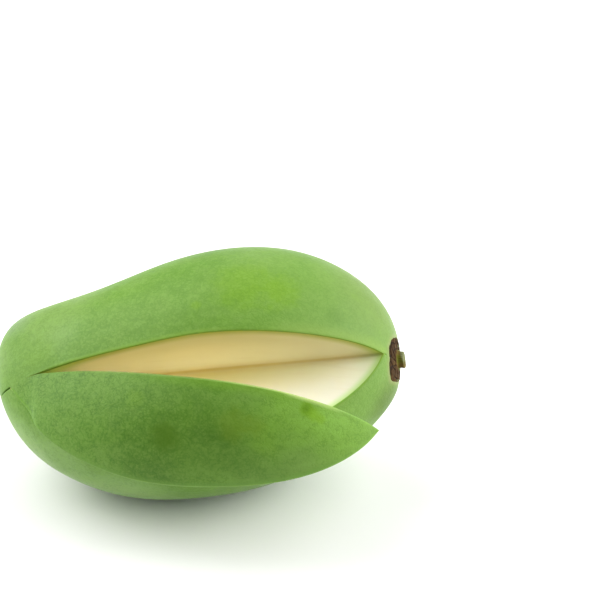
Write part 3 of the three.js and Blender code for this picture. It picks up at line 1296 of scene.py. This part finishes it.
@dataclass
class StalkStub:
    """Corky scar at the stem end with the short stub of the stalk standing in it."""

    form: FruitForm
    seat: StalkSeat
    finish: CorkFinish
    name: str = "stalk_scar_and_stub"
    node: str = "stalk_stub"
    rim_proud: float = 0.14 * MM
    rim_tuck: float = 0.3 * MM
    underside: float = 1.0 * MM
    dish_depth: float = 0.4 * MM
    crack_depth: float = 0.35 * MM
    crack_rings: float = 3.6
    stub_radius: float = 2.75 * MM
    stub_flare: float = 0.35 * MM
    stub_height: float = 1.85 * MM
    stub_slant: float = 0.55 * MM
    slant_turn_deg: float = 50.0
    around: int = 168
    under_rows: int = 12
    scar_rows: int = 64
    stub_rows: int = 34
    probe_from: float = 0.3
    probe_reach: float = 0.22

    def skin_height(self, wide: Array, thick: Array) -> Array:
        """Finds the skin over the stem end.

        Args:
            wide: Distances from the core line across the wide way.
            thick: Distances out of the cut cheek.

        Returns:
            x of the skin in the fruit's own frame, met by rays along the core that start at the probe's
            share of the fruit's length from its middle and run for its reach.
        """
        inside = np.full_like(wide, self.form.length * self.probe_from)
        origins = self.form.to_part(np.stack([inside, wide + self.form.core_at(np.pi), thick], axis=-1))
        along = np.broadcast_to(self.form.axes()[0], origins.shape)
        met = self.form.reach(origins, along, self.form.length * self.probe_reach)
        return self.form.to_fruit(met)[..., 0]

    def cracks(self, ring: Array, turn: Array) -> Array:
        """Draws the cork's cracks.

        Args:
            ring: Share of the way from the scar's middle to its rim.
            turn: Angles round it.

        Returns:
            0 on the cork to 1 in a crack: wavy rings, broken up by rays that bend with the distance.
        """
        waver = 0.07 * np.sin(3 * turn + 1.0) + 0.05 * np.sin(7 * turn + 4 * ring)
        waver = waver + 0.03 * np.sin(13 * turn)
        rings = np.cos(2 * np.pi * self.crack_rings * (ring + waver))
        rays = np.cos(11 * turn + 2.5 * np.sin(5 * ring + 2 * turn) + 6 * ring)
        cracks = np.maximum(smooth_step(rings, 0.62, 0.98), 0.8 * smooth_step(rays, 0.75, 0.99))
        return cracks * smooth_step(ring, 0.36, 0.5)

    def rings(self) -> Rings:
        """Works out the closed surface.

        Returns:
            Rings from under the scar out to its rim, over its face and up the stub, with the marks height,
            crack and broken. The rings' middle moves from the scar's to the stub's on the way in.
        """
        turn = 2 * np.pi * np.arange(self.around) / self.around
        below = np.linspace(0.08, 1.0, self.under_rows)[:, None]
        share = np.linspace(1.0, 0.0, self.scar_rows)[1:, None]
        climb = np.linspace(0.0, 1.0, self.stub_rows)[1:, None]
        face = share * self.seat.rim(turn) + (1 - share) * (self.stub_radius + self.stub_flare)
        across = np.concatenate([below * self.seat.rim(turn), face, self._stub_radius(climb, turn)])
        towards_scar = np.concatenate([np.ones_like(below), share, 0 * climb])
        directions = (np.cos(turn), np.sin(turn))
        wide, thick = (
            stub + (scar - stub) * towards_scar + across * direction
            for stub, scar, direction in zip(self.seat.stub_at, self.seat.scar_at, directions)
        )
        on_scar = self.under_rows + len(share)
        skin = self.skin_height(wide[:on_scar], thick[:on_scar])
        cracks = self.cracks(face / self.seat.scar_radius, turn) * (1 - smooth_step(share, 0.85, 1.0))
        sunk = self.underside * (1 - smooth_step(below, 0.9, 1.0))
        under = skin[: self.under_rows] - sunk - self.rim_tuck
        top = skin[self.under_rows :] + self._scar_relief(share) - self.crack_depth * cracks
        level = np.concatenate([under, top, self._stub_levels(top[-1], climb, turn)])
        on_stub = np.concatenate([0 * below, 1 - smooth_step(share, 0.0, 0.1), 1 + 0 * climb]) + 0 * turn
        split = np.concatenate([0 * (below + turn), cracks, 0.4 * self._grooves(climb, turn)])
        # Paler on the broken end and, as a painted highlight, on the upper side next to it.
        pale = smooth_step(climb + 0.3 * np.cos(turn - 0.3), 0.62, 0.86)
        on_end = np.concatenate([np.zeros((on_scar, self.around)), pale])
        points = np.stack([level, wide, thick], axis=-1)
        ends = np.array([[level[0].mean(), *self.seat.scar_at], [level[-1].mean(), *self.seat.stub_at]])
        for places in (points, ends):
            places[..., 1] += self.form.core_at(np.pi)
        marks = {
            "height": np.append(on_stub, [0.0, 1.0]),
            "crack": np.append(split, [0.0, 0.3]),
            "broken": np.append(on_end, [0.0, 1.0]),
        }
        return Rings(self.form.to_part(points), self.form.to_part(ends), marks)

    def _scar_relief(self, share: Array) -> Array:
        """Shapes the scar's face.

        Args:
            share: 1 at the rim to 0 at the stub's foot.

        Returns:
            Height over the skin: a low swelling inside the rim, less a shallow dish towards the stub, less
            the tuck that takes the rim under the skin.
        """
        swell = self.rim_proud * smooth_step(share, 0.5, 0.85) * (1 - smooth_step(share, 0.93, 1.0))
        dish = self.dish_depth * (1 - smooth_step(share, 0.1, 0.9))
        return swell - dish - self.rim_tuck * smooth_step(share, 0.94, 1.0)

    def _stub_levels(self, foot: Array, climb: Array, turn: Array) -> Array:
        """Raises the stub from its foot to its broken end.

        Args:
            foot: Levels of the scar's innermost ring.
            climb: 0 at the foot to 1 in the middle of the end.
            turn: Angles round the stub.

        Returns:
            Levels along the core: up to a slanting end by four fifths of the way, then rough across it.
        """
        slant = self.stub_slant * np.cos(turn - np.radians(self.slant_turn_deg))
        end = self.form.length / 2 + self.stub_height - slant
        return foot + (end - foot) * np.minimum(climb / 0.8, 1.0) ** 1.3 + self._broken_end(climb, turn)

    def _stub_radius(self, climb: Array, turn: Array) -> Array:
        """Gives the stub's radius.

        Args:
            climb: 0 at the foot to 1 in the middle of the end.
            turn: Angles round the stub.

        Returns:
            A radius flared at the foot, wavy and finely grooved, that closes in over the end as the root of
            1 - s ** 2.4, with s the share of the way across it.
        """
        side = self.stub_radius + self.stub_flare * (1 - np.clip(climb / 0.5, 0, 1)) ** 2
        wavy = 0.05 * np.sin(2 * turn + 1.0) + 0.035 * np.sin(5 * turn) - 0.05 * self._grooves(climb, turn)
        wavy = 1 + wavy * np.clip(climb / 0.2, 0, 1)
        closing = np.sqrt(np.clip(1 - ((climb - 0.72) / 0.29).clip(0, 1) ** 2.4, 0.0, 1.0))
        return side * wavy * np.maximum(closing, 0.04)

    def _grooves(self, climb: Array, turn: Array) -> Array:
        """Returns 0 to 1 for fine grooves up the stub's side, which bend a little as they climb."""
        bend = 1.5 * np.sin(3 * climb) + 1.2 * np.sin(4 * turn)
        return smooth_step(np.cos(17 * turn + bend), 0.3, 1.0)

    def _broken_end(self, climb: Array, turn: Array) -> Array:
        """Roughens the end of the stub.

        Args:
            climb: 0 at the foot to 1 in the middle of the end.
            turn: Angles round the stub.

        Returns:
            How far it rises and falls: sines of 3 and 8 turns, less a dent in the middle.
        """
        on_end = smooth_step(climb, 0.7, 1.0)
        rough = 0.12 * np.sin(3 * turn + 2) + 0.09 * np.sin(8 * turn) * (1 - climb) / 0.3
        return MM * on_end * rough - 0.25 * MM * smooth_step(climb, 0.9, 1.0)

    def build(self) -> bpy.types.Object:
        """Makes the piece and lets it stand for its node.

        Returns:
            The finished object.
        """
        piece = self.rings().build(self.name, [self.finish.material()])
        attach(piece, "root")
        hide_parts(self.node)
        return piece


@dataclass(frozen=True)
class SoftBox:
    """A square area light."""

    name: str
    at: Triple
    size: float
    watts: float


@dataclass
class Studio:
    """A pale floor, soft light from above and the camera."""

    form: FruitForm
    azimuth_deg: float = 8.0
    elevation_deg: float = 33.0
    distance: float = 800 * MM
    lens_mm: float = 136.1
    sensor_mm: float = 36.0
    aim_right: float = 36.5 * MM
    aim_up: float = 25.1 * MM
    floor_size: float = 3.0
    floor_white: Triple = (0.90, 0.90, 0.90)
    world_strength: float = 0.02
    boxes: tuple[SoftBox, ...] = (
        SoftBox("softbox_above_left", (-0.9, 0.3, 1.2), 1.4, 23.5),
        SoftBox("softbox_above_right", (0.9, 0.3, 1.2), 1.4, 15.6),
        SoftBox("softbox_behind", (0.0, 1.6, 0.9), 1.6, 10.8),
        SoftBox("softbox_right", (1.6, 0.0, 0.7), 1.4, 35.0),
        SoftBox("softbox_left", (-1.6, 0.0, 0.7), 1.4, 26.0),
    )

    def build(self) -> None:
        """Makes the floor, the lights, the world and the camera."""
        self._floor()
        for box in self.boxes:
            self._light(box)
        self._world()
        bpy.context.scene.view_settings.view_transform = "Standard"
        self._camera()

    def _world(self) -> None:
        """Makes a backdrop that looks pale to the camera but adds little light."""
        world = bpy.data.worlds.new("studio")
        world.use_nodes = True
        tree = world.node_tree
        seen = tree.nodes.new("ShaderNodeLightPath").outputs["Is Camera Ray"]
        strength = tree.nodes.new("ShaderNodeMapRange")
        strength.inputs["To Min"].default_value = self.world_strength
        strength.inputs["To Max"].default_value = 1.0
        tree.links.new(seen, strength.inputs["Value"])
        tree.links.new(strength.outputs["Result"], tree.nodes["Background"].inputs["Strength"])
        tree.nodes["Background"].inputs["Color"].default_value = (1.0, 1.0, 1.0, 1.0)
        bpy.context.scene.world = world

    def _floor(self) -> None:
        """Makes the floor as one square under the part."""
        half = self.floor_size / 2
        corners = [(-half, -half, 0), (half, -half, 0), (half, half, 0), (-half, half, 0)]
        mesh = bpy.data.meshes.new("floor")
        mesh.from_pydata(corners, [], [(0, 1, 2, 3)])
        floor = bpy.data.objects.new("floor", mesh)
        bpy.context.collection.objects.link(floor)
        graph = ShaderGraph("floor_white")
        graph.set(Base_Color=(*self.floor_white, 1.0), Roughness=0.8, Specular_IOR_Level=0.2)
        mesh.materials.append(graph.material)

    def _light(self, box: SoftBox) -> None:
        """Makes a square area light that faces the fruit.

        Args:
            box: Its name, place, size and power.
        """
        data = bpy.data.lights.new(box.name, "AREA")
        data.size = box.size
        data.energy = box.watts
        light = bpy.data.objects.new(box.name, data)
        light.location = box.at
        towards = Vector(self.form.core_middle) - Vector(box.at)
        light.rotation_euler = towards.to_track_quat("-Z", "Y").to_euler()
        bpy.context.collection.objects.link(light)

    def _camera(self) -> None:
        """Stands the camera at the photograph's viewing angle, with the fruit low on the left."""
        azimuth, elevation = np.radians(self.azimuth_deg), np.radians(self.elevation_deg)
        back = Vector(
            (np.sin(azimuth) * np.cos(elevation), -np.cos(azimuth) * np.cos(elevation), np.sin(elevation))
        )
        right = Vector((np.cos(azimuth), np.sin(azimuth), 0.0))
        up = back.cross(right)
        target = Vector(self.form.core_middle) + right * self.aim_right + up * self.aim_up
        data = bpy.data.cameras.new("camera")
        data.sensor_width = self.sensor_mm
        data.lens = self.lens_mm
        camera = bpy.data.objects.new("camera", data)
        camera.location = target + back * self.distance
        camera.rotation_euler = (-back).to_track_quat("-Z", "Y").to_euler()
        bpy.context.collection.objects.link(camera)
        bpy.context.scene.camera = camera


def fruit_skin() -> SkinFinish:
    """Describes the skin of the fruit.

    Returns:
        Pale and yellowish patches on the upper cheek, a paler stem end, bloom with painted sheen on the lower
        tip, painted sheen on the other limbs, painted shade low on the stem end, a painted highlight along
        the upper knife edge and painted shade along the lower one.
    """
    return SkinFinish(
        "fruit_skin",
        blotches=(
            Blotch(BlotchKind.PALE, at_mm(17.4, 14.0, 86.5), 14 * MM, 0.35, 4 * MM),
            Blotch(BlotchKind.YELLOWISH, at_mm(17.0, 1.5, 85.0), 14.5 * MM, 0.62, 7 * MM),
            Blotch(BlotchKind.YELLOWISH, at_mm(29.0, 1.5, 82.7), 10 * MM, 0.75, 6 * MM),
            Blotch(BlotchKind.YELLOWISH, at_mm(2.0, -7.6, 80.4), 2.4 * MM, 0.6, 1 * MM),
            Blotch(BlotchKind.YELLOWISH, at_mm(54.0, 12.5, 75.4), 2.4 * MM, 0.5, 1 * MM),
            Blotch(BlotchKind.YELLOWISH, at_mm(-53.0, -9.5, 61.0), 15 * MM, 0.4, 5 * MM),
            Blotch(BlotchKind.BLOOM_AND_SHEEN, at_mm(-45.0, -7.0, 63.0), 10 * MM, 0.25, 4 * MM),
            # Painted sheen, with waxy bloom, on the upper left limb.
            Blotch(BlotchKind.HAZE_AND_SHEEN, at_mm(-64.0, 9.0, 61.0), 14 * MM, 0.8, 2 * MM),
            Blotch(BlotchKind.DEEP, at_mm(48.6, 0.3, 74.6), 5 * MM, 0.35, 2 * MM),
            # The next two pale patches on the left limbs are painted sheen.
            Blotch(BlotchKind.PALE, at_mm(-50.0, 9.0, 65.0), 24 * MM, 0.85, 4 * MM),
            Blotch(BlotchKind.PALE, at_mm(-69.0, -4.0, 48.0), 11 * MM, 0.6, 2 * MM),
            # Painted sheen, with waxy bloom, on the limb of the right shoulder.
            Blotch(BlotchKind.SHOULDER_SHEEN, at_mm(62.0, 24.0, 70.0), 30 * MM, 0.9, 4 * MM),
            Blotch(BlotchKind.SHOULDER_SHEEN, at_mm(69.0, 4.0, 49.0), 11 * MM, 0.5, 2 * MM),
            Blotch(BlotchKind.SHADED, at_mm(69.5, -1.0, 41.0), 14 * MM, 0.75, 2 * MM),
            # Waxy bloom with painted sheen on the lower tip, fullest at its limb.
            Blotch(BlotchKind.BLOOM_AND_SHEEN, at_mm(-56.0, -19.0, 24.0), 20 * MM, 0.85, 3 * MM),
            Blotch(BlotchKind.BLOOM_AND_SHEEN, at_mm(-43.0, -34.0, 31.0), 16 * MM, 0.5, 3 * MM),
            Blotch(BlotchKind.BLOOM_AND_SHEEN, at_mm(-42.0, -20.0, 9.0), 23 * MM, 0.85, 3 * MM),
            Blotch(BlotchKind.BLOOM_AND_SHEEN, at_mm(-22.0, -28.0, 10.0), 28 * MM, 0.75, 3 * MM),
        ),
        bands=(
            # The two light bands along the upper knife edge are painted highlights.
            EdgeBand(
                Cut.UPPER, (0.215, 0.370, 0.052), widths=(0.1 * MM, 1.6 * MM), strength=0.7,
                stops=(-0.06, -0.04, 0.0, 0.02), kept=0.2,
            ),
            EdgeBand(
                Cut.UPPER, (0.240, 0.360, 0.062), widths=(0.3 * MM, 5.0 * MM), strength=0.4,
                stops=(0.02, 0.045, 0.1, 0.2),
            ),
            # The dark band along the lower knife edge is painted shade.
            EdgeBand(
                Cut.LOWER, (0.130, 0.250, 0.030), widths=(0.1 * MM, 0.7 * MM), strength=0.6,
                stops=(0.03, 0.05, 0.1, 0.2),
            ),
        ),
    )


def slice_skin() -> SkinFinish:
    """Describes the skin of the slice.

    Returns:
        Deeper green than the fruit's, with faint streaks, lighter towards the stem end; an olive stain in
        the middle, tawny patches by the upper edge, and a smear with bruises round it near the stem end.
    """
    return SkinFinish(
        "slice_skin",
        light_fleck=(0.155, 0.300, 0.046),
        dark_fleck=(0.038, 0.118, 0.004),
        grain=0.5,
        streaks=0.16,
        blotches=(
            Blotch(BlotchKind.DEEP, at_mm(-1.0, -46.0, 52.0), 34 * MM, 0.76, 9 * MM),
            Blotch(BlotchKind.DEEP, at_mm(21.4, -47.1, 49.8), 13 * MM, 0.6, 5 * MM),
            Blotch(BlotchKind.YELLOWISH, at_mm(31.1, -44.5, 52.9), 7 * MM, 0.35, 4 * MM),
            Blotch(BlotchKind.YELLOWISH, at_mm(-14.2, -36.6, 60.5), 5 * MM, 0.3, 3 * MM),
            Blotch(BlotchKind.DARK, at_mm(13.5, -47.0, 50.5), 13 * MM, 0.5, 5 * MM),
            Blotch(BlotchKind.LIGHT, at_mm(57.0, -32.0, 55.5), 20 * MM, 0.8, 4 * MM),
            Blotch(BlotchKind.LIGHT, at_mm(12.0, -50.0, 42.0), 16 * MM, 0.3, 4 * MM),
            Blotch(BlotchKind.LIGHT, at_mm(32.0, -43.5, 56.0), 14 * MM, 0.3, 4 * MM),
            Blotch(BlotchKind.LIGHT, at_mm(42.0, -36.0, 61.0), 16 * MM, 0.7, 3 * MM),
            Blotch(BlotchKind.BRIGHT, at_mm(52.8, -34.6, 55.8), 7.5 * MM, 0.65, 2 * MM),
        ),
        marks=(
            Blotch(BlotchKind.OLIVE, at_mm(-2.2, -45.7, 52.5), 7 * MM, 0.72, 4 * MM),
            Blotch(BlotchKind.TAWNY, at_mm(20.5, -43.2, 58.0), 8 * MM, 0.45, 5 * MM),
            Blotch(BlotchKind.TAWNY, at_mm(27.1, -42.5, 57.0), 5 * MM, 0.45, 3 * MM),
            Blotch(BlotchKind.BRUISED, at_mm(46.1, -36.0, 59.6), 3.6 * MM, 0.65, 1 * MM),
            Blotch(BlotchKind.BRUISED, at_mm(48.6, -35.6, 57.6), 2.4 * MM, 0.5, 0.8 * MM),
            Blotch(BlotchKind.SMEARED, at_mm(43.6, -35.2, 61.0), 3.6 * MM, 0.95, 0.8 * MM),
            Blotch(BlotchKind.OLIVE, at_mm(43.2, -35.0, 61.0), 2.2 * MM, 0.45, 0.8 * MM),
        ),
        bands=(
            EdgeBand(
                Cut.UPPER, (0.128, 0.280, 0.016), widths=(0.8 * MM, 4.5 * MM), strength=0.5,
                stops=(-0.03, 0.0, 0.030, 0.046),
            ),
            EdgeBand(
                Cut.UPPER, (0.210, 0.270, 0.062), widths=(0.1 * MM, 0.9 * MM), strength=0.5,
                stops=(-0.04, -0.02, 0.0, 0.02),
            ),
            EdgeBand(
                Cut.UPPER, (0.430, 0.540, 0.170), widths=(0.1 * MM, 0.8 * MM), strength=0.7,
                stops=(0.004, 0.026, 0.042, 0.053), kept=0.1,
            ),
            EdgeBand(
                Cut.UPPER, (0.430, 0.540, 0.170), widths=(0.5 * MM, 1.6 * MM), strength=0.6,
                stops=(0.033, 0.042, 0.049, 0.057),
            ),
            EdgeBand(
                Cut.UPPER, (0.180, 0.360, 0.050), widths=(0.6 * MM, 1.5 * MM), strength=0.3,
                stops=(0.04, 0.052, 0.1, 0.2),
            ),
            EdgeBand(
                Cut.LOWER, (0.125, 0.265, 0.034), widths=(0.5 * MM, 2.6 * MM), strength=0.6,
                stops=(-0.05, -0.03, 0.05, 0.06),
            ),
            EdgeBand(
                Cut.LOWER, (0.230, 0.380, 0.085), widths=(0.1 * MM, 0.55 * MM), strength=0.6,
                stops=(-0.04, -0.01, 0.1, 0.2),
            ),
            EdgeBand(
                Cut.LOWER, (0.130, 0.300, 0.012), widths=(0.4 * MM, 1.6 * MM), strength=0.45,
                stops=(-0.2, -0.1, -0.056, -0.044),
            ),
        ),
    )


def main() -> None:
    """Builds the studio, the fruit, the slice and the stalk stub in order, and reports each piece."""
    logging.basicConfig(level=logging.INFO, format="%(message)s")
    form = FruitForm()
    cuts = KnifeCuts(form)
    bend = SliceBend()
    Studio(form).build()
    fruit = FruitBody(
        form,
        cuts,
        bend,
        name="mango_fruit",
        node="fruit",
        skin=fruit_skin(),
        flesh=FleshFinish("fruit_flesh"),
        upper_bow_deg=1.9,
        upper_skew_deg=1.3,
        lower_bow_deg=-1.9,
        lower_skew_deg=-1.8,
    )
    loose = LooseSlice(
        form,
        cuts,
        bend,
        name="mango_slice",
        node="slice",
        skin=slice_skin(),
        flesh=FleshFinish("slice_flesh"),
        upper_bow_deg=-2.3,
    )
    stub = StalkStub(form, fruit.seat, CorkFinish("cork"))
    for part, slot in ((fruit, "fruit_skin"), (loose, "slice_skin"), (stub, "cork")):
        piece = part.build()
        LOG.info("%s: %d faces", piece.name, len(piece.data.polygons))


if __name__ == "__main__":
    main()
